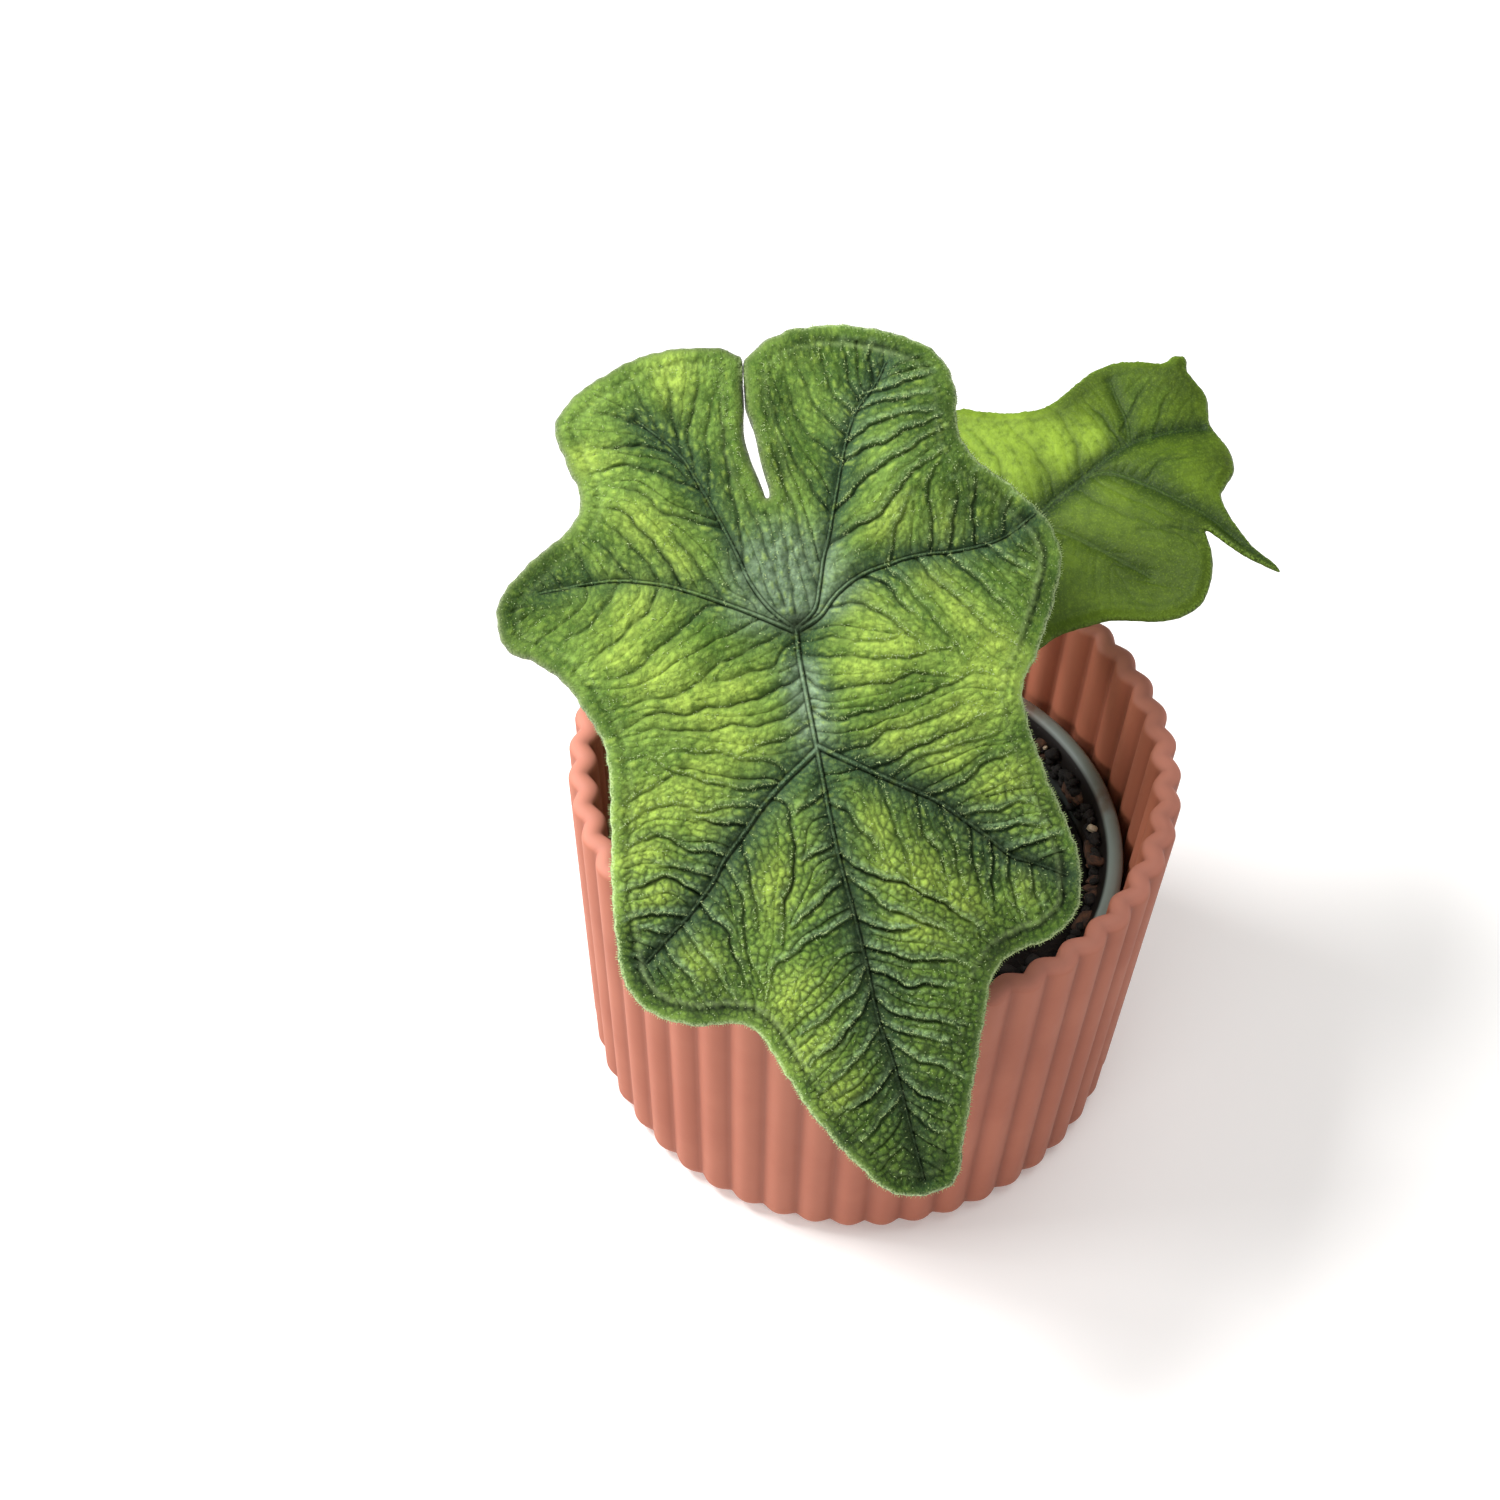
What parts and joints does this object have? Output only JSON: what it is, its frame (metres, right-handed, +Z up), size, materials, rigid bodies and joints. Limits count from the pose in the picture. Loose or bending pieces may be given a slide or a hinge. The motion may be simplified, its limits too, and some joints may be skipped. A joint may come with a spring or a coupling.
{
  "type": "potted jacklyn alocasia",
  "caption": "Young alocasia with lobed, net-veined, hairy leaves on slim petioles, growing in a nursery pot of soil that stands inside a fluted coral pot.",
  "frame": {"origin": "centre of the fluted pot's flat underside", "axes": "+Z up along the pot's axis, the large leaf's tip hanging over the rim towards -Y, +X towards the side that the small leaf leans to"},
  "size_m": [0.0998, 0.1066, 0.1168],
  "materials": {
    "coral_ceramic": "matte coral ceramic, softly speckled",
    "nursery_plastic": "thin grey-green nursery pot plastic with soil smudges",
    "potting_soil": "dark damp potting mix with bark chips; loose mineral and bark mix",
    "corm_bark": "fibrous brown corm skin",
    "petiole_skin": null,
    "large_leaf": null,
    "small_leaf": null
  },
  "bodies": {
    "root": {"outer_pot": "coral_ceramic", "nursery_pot": "nursery_plastic", "soil": "potting_soil", "stem_base": "corm_bark", "large_leaf_petiole": "petiole_skin", "large_leaf_blade": "large_leaf", "small_leaf_petiole": "petiole_skin", "small_leaf_blade": "small_leaf"}
  },
  "joints": []
}
